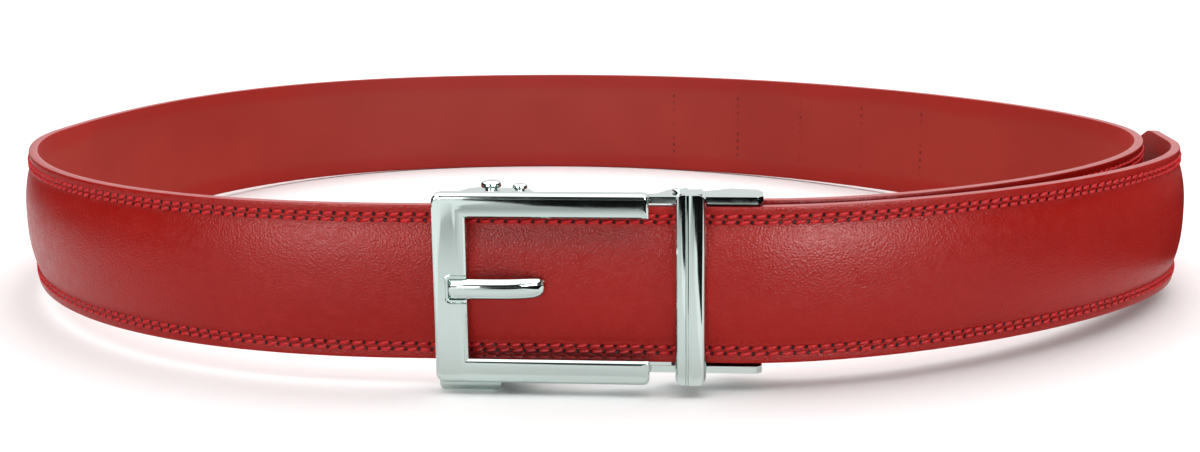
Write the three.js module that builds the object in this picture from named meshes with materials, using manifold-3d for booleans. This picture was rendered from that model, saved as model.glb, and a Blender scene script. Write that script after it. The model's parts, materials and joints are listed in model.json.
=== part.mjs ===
// Ratchet belt, fastened and standing on its lower edge.
// Millimetres. +X runs along the buckle's front from left to right, +Y from the buckle into the loop, +Z up.
// The buckle is modelled round its own zero: the middle of its length, the inner face of the tail
// that runs through it, and the lower edge of the strap there.

import * as THREE from 'three';
import { mergeVertices } from 'three/addons/utils/BufferGeometryUtils.js';
import Module from 'manifold-3d';

const wasm = await Module();
wasm.setup();

// Space between neighbouring pieces that touch
const clearance = 0.3;
const sharpCorner = 0.1;

// Strap
const strapWidth = 35;
const liningThickness = 1;
const faceEdgeThickness = 1.1;
const crownRise = 1.8;
const marginWidth = 4.8;
const rampWidth = 4;
const tipLength = 30;

// Loop, seen from above
const loopWidth = 305.4;
const loopDepth = 266.9;
const buckleRun = 74;
const frontRise = 6.5;
const tailStandOff = 2.3;
const tailStraight = 47;
const stationPitch = 9;

// Toothed track on the tail's inner face
const trackWidth = 12;
const trackBase = 0.6;
const toothHeight = 0.8;
const toothPitch = 6.35;
const toothLean = 0.2;
const toothRamp = 5;
const teethBeforePawl = 4;

// Front frame
const frameLeft = -28.4;
const frameRight = 18.4;
const frameThickness = 3.3;
const frameLip = 1.4;
const frameClear = 0.4;
const leftBar = 7.3;
const armHeight = 5.4;
const frameCorner = 2;
const armCorner = 1.4;

// Side rails of the frame
const railThickness = 1.6;
const railClear = 0.6;
const railInset = 2;
const railFront = -2.4;
const railWaist = -1.2;
const railBite = 0.6;

// Prong and its seat in the left bar
const prongInset = 3.4;
const prongLength = 20.5;
const prongHeight = 4.4;
const prongThickness = 1.6;
const seatDepth = 1.2;
const seatMargin = 1.35;
const seatCorner = 1.5;

// Keeper loop
const keeperGap = 5.6;
const keeperWidth = 6.6;
const keeperThickness = 3.3;
const keeperLeg = 1.1;
const keeperReach = 4;
const keeperCorner = 1.8;

// Pins across the rails
const pawlPinX = -17;
const pawlPinY = 4.3;
const pawlPinRadius = 1.1;
const pawlHeadRadius = 2.2;
const pawlHeadHeight = 2.1;
const pawlLug = 2.6;
const stopPinX = -10.5;
const stopPinY = 3.6;
const stopPinRadius = 0.8;
const stopHeadRadius = 1.6;
const stopHeadHeight = 1.4;
const stopLug = 2.3;
const pinFoot = 1;

// Release lever
const barrelWall = 0.9;
const armThickness = 1.7;
const leverEndGap = 1.8;
const pawlReach = 13.4;
const pawlTipWidth = 0.9;
const pawlHookWidth = 2.4;
const pawlHookHeight = 17;
const legWidth = 5;
const legThickness = 1.4;
const legSwing = 0.5;
const tabWidth = 13.7;
const tabThickness = 1.6;
const tabPlate = 1.3;
const tabSetBack = 4.5;
const tabCorner = 1.3;

// Clamp at the strap's other end
const rivetX = 24.7;
const rivetY = 2.8;
const rivetRadius = 1.1;
const rivetBore = 0.7;
const rivetFlange = 1.75;
const rivetFlangeHeight = 0.5;
const rivetLug = 3.6;
const clampEnd = 42.7;
const clampPlate = 2.1;
const clampPlateInset = 1.2;
const clampEar = 1.6;
const clampBulge = 3;
const strapBite = 8.7;
const jawThickness = 1.4;
const jawKnuckle = 3.4;
const jawEndInset = 0.7;

// Levels across the strap, counted from the tail's inner face: outwards is towards -Y
const strapEdge = liningThickness + clearance + faceEdgeThickness;
const strapThickness = strapEdge + crownRise;
const frameBack = -(strapThickness + frameClear);
const frameFront = frameBack - frameThickness;
const trackTop = clearance + trackBase + toothHeight;
const clampFront = trackTop + clearance;
const clampBack = clampFront + clampPlate;
const loopInner = clampBack + clearance + strapThickness;

// Levels up the buckle, counted from the strap's lower edge
const railLow = strapWidth + railClear;
const railTop = railLow + railThickness;
const frameTop = railTop + frameLip;
const frameBottom = strapWidth - frameTop;
const middle = strapWidth / 2;
const railEnd = rivetX + rivetLug;
const holeClear = clearance;

// Turning points of the strap's inner face, going round from the clamp: place as shares of the loop's
// width and depth, and how far the bend keeps its direction, as shares of the way to either neighbour.
const turns = {
  clamp: { out: 0.34 },
  right: { across: 0.474, back: 0.443, into: 0.54, out: 0.34 },
  back: { across: -0.102, back: 1, into: 0.56, out: 0.63 },
  left: { across: -0.526, back: 0.418, into: 0.7, out: 0.27 },
  buckle: { into: 0.74, out: 0.36 },
  tail: { back: 0.379, into: 0.45 },
};

// Face of the strap from its margin to its middle: how far up the ramp, then how far across the dome, and the
// rise of the crown there
const crown = [
  { ramp: 0, dome: 0, rise: 0 },
  { ramp: 0.5, dome: 0, rise: 0.5 },
  { ramp: 1, dome: 0, rise: 0.76 },
  { ramp: 1, dome: 0.43, rise: 0.94 },
  { ramp: 1, dome: 1, rise: 1 },
];

// Rounded point of the tail: distance from its end as a share of its length, width as a share of the strap's
const tip = [
  { from: 1, width: 1 },
  { from: 0.86, width: 0.98 },
  { from: 0.71, width: 0.9 },
  { from: 0.58, width: 0.82 },
  { from: 0.4, width: 0.68 },
  { from: 0.22, width: 0.51 },
  { from: 0.1, width: 0.36 },
  { from: 0.03, width: 0.22 },
  { from: 0, width: 0.12 },
];

const leather = new THREE.MeshStandardMaterial({ color: 0x9c1f1a, roughness: 0.55, metalness: 0 });
const lining = new THREE.MeshStandardMaterial({ color: 0x9b2d27, roughness: 0.75, metalness: 0 });
const chrome = new THREE.MeshStandardMaterial({ color: 0xc6ccc8, roughness: 0.12, metalness: 1 });
const plastic = new THREE.MeshStandardMaterial({ color: 0x1c1a1a, roughness: 0.6, metalness: 0 });

// Solids

function toSolid(geometry) {
  const bare = geometry.clone();
  bare.deleteAttribute('normal');
  bare.deleteAttribute('uv');
  const merged = mergeVertices(bare, 1e-3);
  const vertProperties = new Float32Array(merged.attributes.position.array);
  const triVerts = new Uint32Array(merged.index.array);
  return new wasm.Manifold(new wasm.Mesh({ numProp: 3, vertProperties, triVerts }));
}

function toGeometry(solid) {
  const mesh = solid.getMesh();
  const geometry = new THREE.BufferGeometry();
  geometry.setAttribute('position', new THREE.BufferAttribute(new Float32Array(mesh.vertProperties), 3));
  geometry.setIndex(Array.from(mesh.triVerts));
  geometry.computeVertexNormals();
  return geometry;
}

function join(...geometries) {
  return toGeometry(geometries.map(toSolid).reduce((whole, next) => whole.add(next)));
}

function cut(body, ...tools) {
  return toGeometry(tools.map(toSolid).reduce((left, tool) => left.subtract(tool), toSolid(body)));
}

function outline(points) {
  return new THREE.Shape(points.map(([x, y]) => new THREE.Vector2(x, y)));
}

// A shape drawn in plan, standing between two heights
function standing(points, low, high) {
  const geometry = new THREE.ExtrudeGeometry(outline(points), { depth: high - low, bevelEnabled: false });
  return geometry.translate(0, 0, low);
}

// A shape drawn as seen from the front, from one depth to another
function facing(shape, near, far) {
  const geometry = new THREE.ExtrudeGeometry(shape, { depth: far - near, bevelEnabled: false, curveSegments: 4 });
  return geometry.rotateX(Math.PI / 2).translate(0, far, 0);
}

function block(left, right, near, far, low, high) {
  const geometry = new THREE.BoxGeometry(right - left, far - near, high - low);
  return geometry.translate((left + right) / 2, (near + far) / 2, (low + high) / 2);
}

function rod(radius, x, y, low, high, sides = 20) {
  const geometry = new THREE.CylinderGeometry(radius, radius, high - low, sides);
  return geometry.rotateX(Math.PI / 2).translate(x, y, (low + high) / 2);
}

// A turned piece with an upright axis: rows of [radius, height], from the axis back to the axis or closed on itself
function turned(rows, x, y, sides = 20) {
  const geometry = new THREE.LatheGeometry(rows.map(([radius, up]) => new THREE.Vector2(radius, up)), sides);
  return geometry.rotateX(Math.PI / 2).translate(x, y, 0);
}

function arc(x, y, radius, from, to, steps) {
  const points = [];
  for (let i = 0; i <= steps; i += 1) {
    const angle = THREE.MathUtils.degToRad(from + ((to - from) * i) / steps);
    points.push([x + radius * Math.cos(angle), y + radius * Math.sin(angle)]);
  }
  return points;
}

function roundedBox(left, right, low, high, corners) {
  const [lowLeft, lowRight, highRight, highLeft] = corners;
  const shape = new THREE.Shape();
  shape.moveTo(left + lowLeft, low);
  shape.lineTo(right - lowRight, low);
  shape.absarc(right - lowRight, low + lowRight, lowRight, -Math.PI / 2, 0, false);
  shape.lineTo(right, high - highRight);
  shape.absarc(right - highRight, high - highRight, highRight, 0, Math.PI / 2, false);
  shape.lineTo(left + highLeft, high);
  shape.absarc(left + highLeft, high - highLeft, highLeft, Math.PI / 2, Math.PI, false);
  shape.lineTo(left, low + lowLeft);
  shape.absarc(left + lowLeft, low + lowLeft, lowLeft, Math.PI, Math.PI * 1.5, false);
  return shape;
}

// Route of the strap

function bend(start, end, firstAlongX, out, into) {
  const span = end.clone().sub(start);
  const leave = firstAlongX ? new THREE.Vector2(span.x * out, 0) : new THREE.Vector2(0, span.y * out);
  const arrive = firstAlongX ? new THREE.Vector2(0, span.y * into) : new THREE.Vector2(span.x * into, 0);
  return new THREE.CubicBezierCurve(start, start.clone().add(leave), end.clone().sub(arrive), end);
}

const strapStart = new THREE.Vector2(clampEnd - strapBite, loopInner);
const clampOut = new THREE.Vector2(clampEnd + clearance, loopInner);
const rightTurn = new THREE.Vector2(turns.right.across * loopWidth, turns.right.back * loopDepth);
const backTurn = new THREE.Vector2(turns.back.across * loopWidth, turns.back.back * loopDepth);
const leftTurn = new THREE.Vector2(turns.left.across * loopWidth, turns.left.back * loopDepth);
const buckleIn = new THREE.Vector2(-buckleRun / 2, 0);
const buckleOut = new THREE.Vector2(buckleRun / 2, 0);
const tailTurn = new THREE.Vector2(rightTurn.x + strapThickness + tailStandOff, turns.tail.back * loopDepth);
const tailEnd = new THREE.Vector2(tailTurn.x, tailTurn.y + tailStraight);

const route = new THREE.CurvePath();
route.add(new THREE.LineCurve(strapStart, clampOut));
route.add(bend(clampOut, rightTurn, true, turns.clamp.out, turns.right.into));
route.add(bend(rightTurn, backTurn, false, turns.right.out, turns.back.into));
route.add(bend(backTurn, leftTurn, true, turns.back.out, turns.left.into));
route.add(bend(leftTurn, buckleIn, false, turns.left.out, turns.buckle.into));
route.add(new THREE.LineCurve(buckleIn, buckleOut));
route.add(bend(buckleOut, tailTurn, true, turns.buckle.out, turns.tail.into));
route.add(new THREE.LineCurve(tailTurn, tailEnd));

const legLengths = route.getCurveLengths();
const strapLength = legLengths[legLengths.length - 1];
const lengthToBuckle = legLengths[4];

// Height of the strap's lower edge: the front stands on the lever's tab, the back on the edge itself
function lowerEdge(y) {
  return frontRise * (1 - y / (loopDepth + strapEdge));
}

// Point beside the route: out is the distance from the strap's inner face, outwards
function beside(along, out) {
  const share = THREE.MathUtils.clamp(along / strapLength, 0, 1);
  const point = route.getPoint(share);
  const heading = route.getTangent(share);
  return new THREE.Vector2(point.x + heading.y * out, point.y - heading.x * out);
}

function stations() {
  const body = strapLength - tipLength;
  const count = Math.round(body / stationPitch);
  const list = [];
  for (let i = 0; i < count; i += 1) {
    list.push({ along: (body * i) / count, width: 1 });
  }
  for (const row of tip) {
    list.push({ along: strapLength - tipLength * row.from, width: row.width });
  }
  return list;
}

// Carries a section (out, up) round the route; the crown sinks to the edge thickness at the tail's point
function carried(section, flatOut) {
  const list = stations();
  const last = list.length - 1;
  const geometry = new THREE.ExtrudeGeometry(section, { depth: 1, steps: last, bevelEnabled: false });
  const place = geometry.attributes.position;
  for (let i = 0; i < place.count; i += 1) {
    const station = list[last - Math.round(place.getZ(i) * last)];
    const proud = Math.max(place.getX(i) - flatOut, 0);
    const out = place.getX(i) - proud * (1 - station.width);
    const up = middle + (place.getY(i) - middle) * station.width;
    const point = beside(station.along, out);
    place.setXYZ(i, point.x, point.y, lowerEdge(point.y) + up);
  }
  geometry.computeVertexNormals();
  return geometry;
}

function faceSection() {
  const inner = liningThickness + clearance;
  const dome = middle - marginWidth - rampWidth;
  const rows = crown.map((row) => ({
    up: marginWidth + rampWidth * row.ramp + dome * row.dome,
    out: strapEdge + crownRise * row.rise,
  }));
  const lower = rows.map((row) => [row.out, row.up]);
  const upper = rows.slice(0, -1).reverse().map((row) => [row.out, strapWidth - row.up]);
  const ends = [[strapEdge, strapWidth], [inner, strapWidth], [inner, 0], [strapEdge, 0]];
  return outline([...lower, ...upper, ...ends]);
}

function liningSection() {
  return outline([[0, 0], [liningThickness, 0], [liningThickness, strapWidth], [0, strapWidth]]);
}

// Track: each tooth has a steep side that the pawl catches and a ramp that it slides up
function track() {
  const pawlSide = pawlPinX + pawlReach + clearance;
  const first = lengthToBuckle + buckleRun / 2 + pawlSide - teethBeforePawl * toothPitch;
  const count = Math.floor((strapLength - tipLength - first) / toothPitch);
  const back = -clearance;
  const root = -(clearance + trackBase);
  const crest = root - toothHeight;
  const toothed = [];
  const plain = [];
  for (let i = 0; i < count; i += 1) {
    const along = first + i * toothPitch;
    toothed.push(beside(along, root));
    toothed.push(beside(along + toothLean, crest));
    toothed.push(beside(along + toothRamp + toothLean, root));
    plain.push(beside(along, back));
  }
  toothed.push(beside(first + count * toothPitch, root));
  plain.push(beside(first + count * toothPitch, back));
  const points = [...plain, ...toothed.reverse()].map((point) => [point.x, point.y]);
  const geometry = standing(points, middle - trackWidth / 2, middle + trackWidth / 2);
  const place = geometry.attributes.position;
  for (let i = 0; i < place.count; i += 1) {
    place.setZ(i, place.getZ(i) + lowerEdge(place.getY(i)));
  }
  return geometry;
}

// Buckle

// Outline of either rail in plan: a strip behind the frame with a lug round each pin
function railOutline() {
  return [
    [frameLeft + railInset, frameBack - railBite],
    [frameRight - armCorner, frameBack - railBite],
    [frameRight - armCorner, railFront],
    [railEnd, railFront],
    ...arc(rivetX, rivetY, rivetLug, 0, 150, 6),
    [rivetX - rivetLug * 1.4, rivetY - rivetLug * 0.45],
    [(frameRight + stopPinX) / 2, railWaist],
    [stopPinX + stopLug * 2, railWaist],
    ...arc(stopPinX, stopPinY, stopLug, 20, 110, 4),
    ...arc(pawlPinX, pawlPinY, pawlLug, 60, 90, 2),
    [pawlPinX - pawlLug * 1.3, pawlPinY + pawlLug],
    [pawlPinX - pawlLug * 2.1, pawlPinY + pawlLug * 0.4],
    [frameLeft + railInset * 1.5, railWaist],
    [frameLeft + railInset, railFront],
  ];
}

function frame() {
  const left = frameLeft;
  const right = frameRight;
  const windowLow = frameBottom + armHeight;
  const windowTop = frameTop - armHeight;
  const plate = facing(
    roundedBox(left, right, frameBottom, frameTop, [frameCorner, armCorner, armCorner, frameCorner]),
    frameFront,
    frameBack,
  );
  const window = block(left + leftBar, right + clearance, frameFront - 1, frameBack + 1, windowLow, windowTop);
  const seat = facing(
    roundedBox(
      left + prongInset - seatMargin / 2,
      left + leftBar + 1,
      middle - prongHeight / 2 - seatMargin,
      middle + prongHeight / 2 + seatMargin,
      [seatCorner, sharpCorner, sharpCorner, seatCorner],
    ),
    frameFront - 1,
    frameFront + seatDepth,
  );
  const plain = cut(plate, window, seat);
  const topRail = standing(railOutline(), railLow, railTop);
  const lowRail = standing(railOutline(), strapWidth - railTop, strapWidth - railLow);
  const low = frameBottom - 1;
  const high = frameTop + 1;
  return cut(
    join(plain, topRail, lowRail),
    rod(pawlPinRadius + holeClear, pawlPinX, pawlPinY, low, high),
    rod(stopPinRadius + holeClear, stopPinX, stopPinY, low, high),
    rod(rivetRadius + holeClear, rivetX, rivetY, low, high),
  );
}

// Prong: a flat tongue in the left bar's seat that bends back to the strap at its point
function prong() {
  const start = frameLeft + prongInset;
  const end = start + prongLength;
  const bed = frameFront + seatDepth - clearance;
  const face = bed - prongThickness;
  const point = -(strapThickness + frameClear);
  const shape = [
    [start, bed],
    [start, face + prongThickness * 0.3],
    [start + prongLength * 0.05, face],
    [start + prongLength * 0.45, face],
    [start + prongLength * 0.72, face + prongThickness * 0.35],
    [start + prongLength * 0.9, face + prongThickness * 0.9],
    [end, point - prongThickness * 0.6],
    [end, point - prongThickness * 0.1],
    [end - prongLength * 0.1, point - prongThickness * 0.15],
    [start + prongLength * 0.6, bed + prongThickness * 0.3],
    [start + prongLength * 0.25, bed],
  ];
  const bar = standing(shape.reverse(), middle - prongHeight / 2, middle + prongHeight / 2);
  const nose = prongHeight * 0.36;
  const profile = roundedBox(start - 1, end, middle - prongHeight / 2, middle + prongHeight / 2, [sharpCorner, nose, nose, sharpCorner]);
  const mask = facing(profile, frameFront - prongThickness - 4, 0);
  return toGeometry(toSolid(bar).intersect(toSolid(mask)));
}

// Keeper: a bar across the strap with two legs that lie on the rails
function keeper() {
  const left = frameRight + keeperGap;
  const right = left + keeperWidth;
  const top = railTop + clearance + keeperLeg;
  const bottom = strapWidth - top;
  const corners = [keeperCorner, keeperCorner, keeperCorner, keeperCorner];
  const bar = facing(roundedBox(left, right, bottom, top, corners), frameBack - keeperThickness, frameBack);
  const near = frameBack - keeperThickness / 2;
  const far = frameBack + keeperReach;
  const topLeg = block(left + keeperCorner / 2, right - keeperCorner / 2, near, far, top - keeperLeg, top);
  const lowLeg = block(left + keeperCorner / 2, right - keeperCorner / 2, near, far, bottom, bottom + keeperLeg);
  return join(bar, topLeg, lowLeg);
}

// Pin through both rails: a domed head with a narrower neck above, a flat foot below
function pin(x, y, radius, headRadius, headHeight) {
  const seatLevel = railTop + clearance;
  const footLevel = strapWidth - railTop - clearance;
  return turned(
    [
      [0, footLevel - pinFoot],
      [headRadius * 0.85, footLevel - pinFoot],
      [headRadius * 0.85, footLevel],
      [radius, footLevel],
      [radius, seatLevel],
      [headRadius * 0.75, seatLevel],
      [headRadius * 0.8, seatLevel + headHeight * 0.25],
      [headRadius, seatLevel + headHeight * 0.55],
      [headRadius * 0.8, seatLevel + headHeight * 0.82],
      [headRadius * 0.4, seatLevel + headHeight * 0.97],
      [0, seatLevel + headHeight],
    ],
    x,
    y,
  );
}

// Release lever: a barrel on the pawl pin, an arm behind the stop pin with a hooked tooth in the track,
// and a leg behind the lower rail to a tab in front
function lever() {
  const low = leverEndGap - railClear;
  const high = strapWidth - low;
  const outer = pawlPinRadius + holeClear + barrelWall;
  const armNear = stopPinY + stopPinRadius + clearance;
  const armFar = armNear + armThickness;
  const reach = pawlPinX + pawlReach;
  const tipLevel = clearance + trackBase + clearance;
  const barrel = rod(outer, pawlPinX, pawlPinY, low, high);
  const arm = standing(
    [
      [pawlPinX, armNear],
      [reach, armNear],
      [reach, armFar - armThickness * 0.4],
      [reach - armThickness, armFar],
      [pawlPinX, armFar],
    ],
    low,
    high,
  );
  const hook = standing(
    [
      [reach - pawlTipWidth, tipLevel],
      [reach, tipLevel],
      [reach, armFar - armThickness * 0.5],
      [reach - pawlHookWidth, armFar - armThickness * 0.5],
      [reach - pawlHookWidth, clampFront + clampPlate * 0.5],
    ],
    middle - pawlHookHeight / 2,
    middle + pawlHookHeight / 2,
  );
  const legLeft = pawlPinX - legWidth / 2;
  const legRight = pawlPinX + legWidth / 2;
  const legNear = pawlPinY + pawlLug + clearance + legSwing;
  const legFar = legNear + legThickness;
  const plateTop = frameBottom - clearance;
  const plateLow = plateTop - tabPlate;
  const tabLeft = frameLeft;
  const tabRight = tabLeft + tabWidth;
  const tabFront = frameFront + tabSetBack;
  const shelf = block(legLeft, legRight, pawlPinY, legFar, low, low + legWidth);
  const leg = block(legLeft, legRight, legNear, legFar, plateLow, low + legWidth);
  const plate = standing(
    [
      [tabLeft, tabFront],
      [tabRight, tabFront],
      [legRight, tabFront + tabThickness * 2],
      [legRight, legFar],
      [legLeft, legFar],
      [legLeft, tabFront + tabThickness * 3],
      [tabLeft, tabFront + tabThickness],
    ],
    plateLow,
    plateTop,
  );
  const tab = facing(
    roundedBox(tabLeft, tabRight, -frontRise, plateTop, [tabCorner, tabCorner, sharpCorner, sharpCorner]),
    tabFront,
    tabFront + tabThickness,
  );
  const body = join(barrel, arm, hook, shelf, leg, plate, tab);
  return cut(body, rod(pawlPinRadius + holeClear, pawlPinX, pawlPinY, low - 1, high + 1));
}

// Clamp: a plate between the two layers of the strap, walls over and under it, and ears inside the rails
function clamp() {
  const wallStart = railEnd + clearance;
  const plateStart = rivetX + rivetFlange + clearance * 2;
  const plateEnd = clampEnd - clearance;
  const wall = [
    [wallStart, railFront],
    [clampEnd - clampPlateInset, railFront],
    [clampEnd, railFront + clampPlateInset],
    [clampEnd, clampFront + clampPlateInset],
    [clampEnd - clampPlateInset, clampBack + clampBulge * 0.57],
    [(wallStart + clampEnd) / 2, clampBack + clampBulge],
    [wallStart, clampBack - clampBulge * 0.25],
  ];
  const ear = [
    [wallStart + clearance, clampBack],
    [rivetX, clampBack + clampPlateInset],
    ...arc(rivetX, rivetY, rivetFlange + clearance, 120, 240, 5),
    [rivetX, rivetY - rivetFlange - clearance],
    [wallStart + clearance, clampFront],
  ];
  const earTop = railLow - clearance;
  const body = join(
    block(plateStart, plateEnd, clampFront, clampBack, strapWidth - earTop, earTop),
    block(wallStart + clearance, plateEnd, clampFront, clampBack, strapWidth - railLow - railBite, railLow + railBite),
    standing(wall, railLow, railTop),
    standing(wall, strapWidth - railTop, strapWidth - railLow),
    standing(ear, earTop - clampEar, earTop),
    standing(ear, strapWidth - earTop, strapWidth - earTop + clampEar),
  );
  return cut(body, rod(rivetRadius + holeClear, rivetX, rivetY, frameBottom, frameTop));
}

// Jaw of the clamp: a knuckle ahead of the strap's end and a plate behind it
function jaw() {
  const start = clampEnd - strapBite - clearance - jawKnuckle;
  const knuckleEnd = start + jawKnuckle;
  const end = clampEnd - jawEndInset;
  const near = clampBack + clearance;
  const plateNear = loopInner + clearance;
  const plateFar = plateNear + jawThickness;
  const shape = [
    [start, near],
    [knuckleEnd, near],
    [knuckleEnd, plateNear],
    [end, plateNear],
    [end, plateFar],
    [start + jawKnuckle * 0.5, plateFar],
    [start, plateNear],
  ];
  const top = railLow - clearance;
  return standing(shape, strapWidth - top, top);
}

// Hollow rivet through one rail and the clamp's ear: low and high are the faces that it holds together
function rivet(low, high) {
  const bottom = low - clearance;
  const top = high + clearance;
  return turned(
    [
      [rivetBore, bottom - rivetFlangeHeight],
      [rivetFlange, bottom - rivetFlangeHeight],
      [rivetFlange, bottom],
      [rivetRadius, bottom],
      [rivetRadius, top],
      [rivetFlange, top],
      [rivetFlange, top + rivetFlangeHeight * 0.6],
      [rivetFlange * 0.8, top + rivetFlangeHeight],
      [rivetBore, top + rivetFlangeHeight],
      [rivetBore, bottom - rivetFlangeHeight],
    ],
    rivetX,
    rivetY,
  );
}

// Assembly

function piece(name, geometry, material) {
  const mesh = new THREE.Mesh(geometry, material);
  mesh.name = name;
  return mesh;
}

const strap = new THREE.Group();
strap.add(piece('strap_face', carried(faceSection(), strapEdge), leather));
strap.add(piece('strap_lining', carried(liningSection(), strapEdge), lining));
strap.add(piece('ratchet_track', track(), plastic));

const earFoot = railLow - clearance - clampEar;
const buckle = new THREE.Group();
buckle.position.z = frontRise;
buckle.add(piece('buckle_frame', frame(), chrome));
buckle.add(piece('prong', prong(), chrome));
buckle.add(piece('keeper_loop', keeper(), chrome));
buckle.add(piece('pawl_pin', pin(pawlPinX, pawlPinY, pawlPinRadius, pawlHeadRadius, pawlHeadHeight), chrome));
buckle.add(piece('stop_pin', pin(stopPinX, stopPinY, stopPinRadius, stopHeadRadius, stopHeadHeight), chrome));
buckle.add(piece('release_lever', lever(), chrome));
buckle.add(piece('clamp', clamp(), chrome));
buckle.add(piece('clamp_jaw', jaw(), chrome));
buckle.add(piece('clamp_rivet_top', rivet(earFoot, railTop), chrome));
buckle.add(piece('clamp_rivet_bottom', rivet(strapWidth - railTop, strapWidth - earFoot), chrome));

const belt = new THREE.Group();
belt.add(strap, buckle);

// The origin is the middle of the belt's box, on the surface that it stands on
belt.updateMatrixWorld(true);
const extent = new THREE.Box3().setFromObject(belt, true);
belt.position.set(-(extent.min.x + extent.max.x) / 2, -(extent.min.y + extent.max.y) / 2, -extent.min.z);

const model = new THREE.Group();
model.add(belt);

export default model;
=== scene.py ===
import json
import math
import random

import bpy
from mathutils import Matrix, Vector

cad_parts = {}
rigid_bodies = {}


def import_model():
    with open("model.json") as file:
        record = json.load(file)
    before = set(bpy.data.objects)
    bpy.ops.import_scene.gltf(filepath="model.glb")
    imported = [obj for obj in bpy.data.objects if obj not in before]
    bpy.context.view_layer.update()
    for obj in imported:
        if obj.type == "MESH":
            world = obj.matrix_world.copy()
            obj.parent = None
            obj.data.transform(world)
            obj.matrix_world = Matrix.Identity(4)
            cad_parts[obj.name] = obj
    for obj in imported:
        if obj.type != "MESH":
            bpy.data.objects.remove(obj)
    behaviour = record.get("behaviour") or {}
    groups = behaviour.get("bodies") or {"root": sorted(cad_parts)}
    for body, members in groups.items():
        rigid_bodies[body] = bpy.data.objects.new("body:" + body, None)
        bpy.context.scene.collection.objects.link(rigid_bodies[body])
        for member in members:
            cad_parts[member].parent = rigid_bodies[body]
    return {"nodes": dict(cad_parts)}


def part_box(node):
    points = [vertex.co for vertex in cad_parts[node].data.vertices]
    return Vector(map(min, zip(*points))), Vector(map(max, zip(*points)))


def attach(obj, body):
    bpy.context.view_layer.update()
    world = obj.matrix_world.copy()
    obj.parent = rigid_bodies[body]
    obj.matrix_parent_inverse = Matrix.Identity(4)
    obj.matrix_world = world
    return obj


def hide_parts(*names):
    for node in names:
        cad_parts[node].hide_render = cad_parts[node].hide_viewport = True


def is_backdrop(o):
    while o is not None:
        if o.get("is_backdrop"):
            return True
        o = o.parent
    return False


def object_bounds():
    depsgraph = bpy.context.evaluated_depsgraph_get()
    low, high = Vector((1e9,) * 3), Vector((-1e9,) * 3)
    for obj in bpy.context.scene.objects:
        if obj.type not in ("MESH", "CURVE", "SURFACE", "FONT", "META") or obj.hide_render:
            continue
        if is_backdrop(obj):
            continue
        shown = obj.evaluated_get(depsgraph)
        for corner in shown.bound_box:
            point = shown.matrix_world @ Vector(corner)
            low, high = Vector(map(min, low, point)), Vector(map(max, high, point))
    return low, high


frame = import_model()
cadLow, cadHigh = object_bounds()

mm = 0.001
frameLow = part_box("buckle_frame")[0]

# The buckle's own zero, which the lengths below count from, in mm: the middle of its run, the inner face of
# the tail and the strap's lower edge there
fromCorner = {"right": 28.4, "back": 7.9, "up": 3.6}
originX = frameLow.x + fromCorner["right"] * mm
originY = frameLow.y + fromCorner["back"] * mm
strapLow = frameLow.z + fromCorner["up"] * mm
strapWidth = 35
middle = strapWidth / 2 * mm


def at(x, y, z):
    return Vector((originX + x * mm, originY + y * mm, strapLow + z * mm))


def deselectAll():
    for item in bpy.context.view_layer.objects:
        item.select_set(False)


def newObject(name, operator, **settings):
    deselectAll()
    operator(**settings)
    piece = bpy.context.object
    piece.name = name
    return piece


view = {
    "lens": 49.5,
    "sensor": 36,
    "clip": (0.01, 20),
    "place": (39.17, -348.85, 108.12),
    "turn": 5.21,
    "dip": 12.56,
    "roll": -0.66,
}

camera = newObject("camera", bpy.ops.object.camera_add)
camera.data.lens = view["lens"]
camera.data.sensor_width = view["sensor"]
camera.data.sensor_fit = "HORIZONTAL"
camera.data.clip_start, camera.data.clip_end = view["clip"]
camera.matrix_world = (
    Matrix.Translation(at(*view["place"]))
    @ Matrix.Rotation(math.radians(view["turn"]), 4, "Z")
    @ Matrix.Rotation(math.radians(90 - view["dip"]), 4, "X")
    @ Matrix.Rotation(math.radians(view["roll"]), 4, "Z")
)
bpy.context.scene.camera = camera
bpy.context.scene.view_settings.view_transform = "Standard"
bpy.context.scene.view_settings.look = "None"
print("camera placed")


def makeActive(piece):
    deselectAll()
    piece.select_set(True)
    bpy.context.view_layer.objects.active = piece


def editMode(piece, kind="FACE"):
    makeActive(piece)
    bpy.ops.object.mode_set(mode="EDIT")
    bpy.ops.mesh.select_mode(type=kind)
    bpy.ops.mesh.select_all(action="DESELECT")


def selectAll():
    bpy.ops.mesh.select_all(action="SELECT")


def objectMode():
    bpy.ops.object.mode_set(mode="OBJECT")


def choose(piece, kind, wanted):
    objectMode()
    mesh = piece.data
    for group in (mesh.polygons, mesh.edges, mesh.vertices):
        group.foreach_set("select", [False] * len(group))
    for item in getattr(mesh, kind):
        item.select = bool(wanted(item))
    bpy.ops.object.mode_set(mode="EDIT")


def chooseEdges(piece, wanted):
    choose(piece, "edges", lambda edge: wanted(*(piece.data.vertices[i].co for i in edge.vertices)))


def applyAll(piece):
    makeActive(piece)
    for modifier in list(piece.modifiers):
        bpy.ops.object.modifier_apply(modifier=modifier.name)


def settle(piece):
    makeActive(piece)
    bpy.ops.object.transform_apply(location=True, rotation=True, scale=True)


def outwards(piece):
    editMode(piece)
    selectAll()
    bpy.ops.mesh.normals_make_consistent(inside=False)
    objectMode()


def smooth(piece, angle):
    makeActive(piece)
    bpy.ops.object.shade_smooth_by_angle(angle=math.radians(angle))


# Smooth shading that keeps the flats flat
def polish(piece, angle):
    smooth(piece, angle)
    level = piece.modifiers.new("level", "WEIGHTED_NORMAL")
    level.keep_sharp = True
    level.weight = 60
    applyAll(piece)


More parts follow.
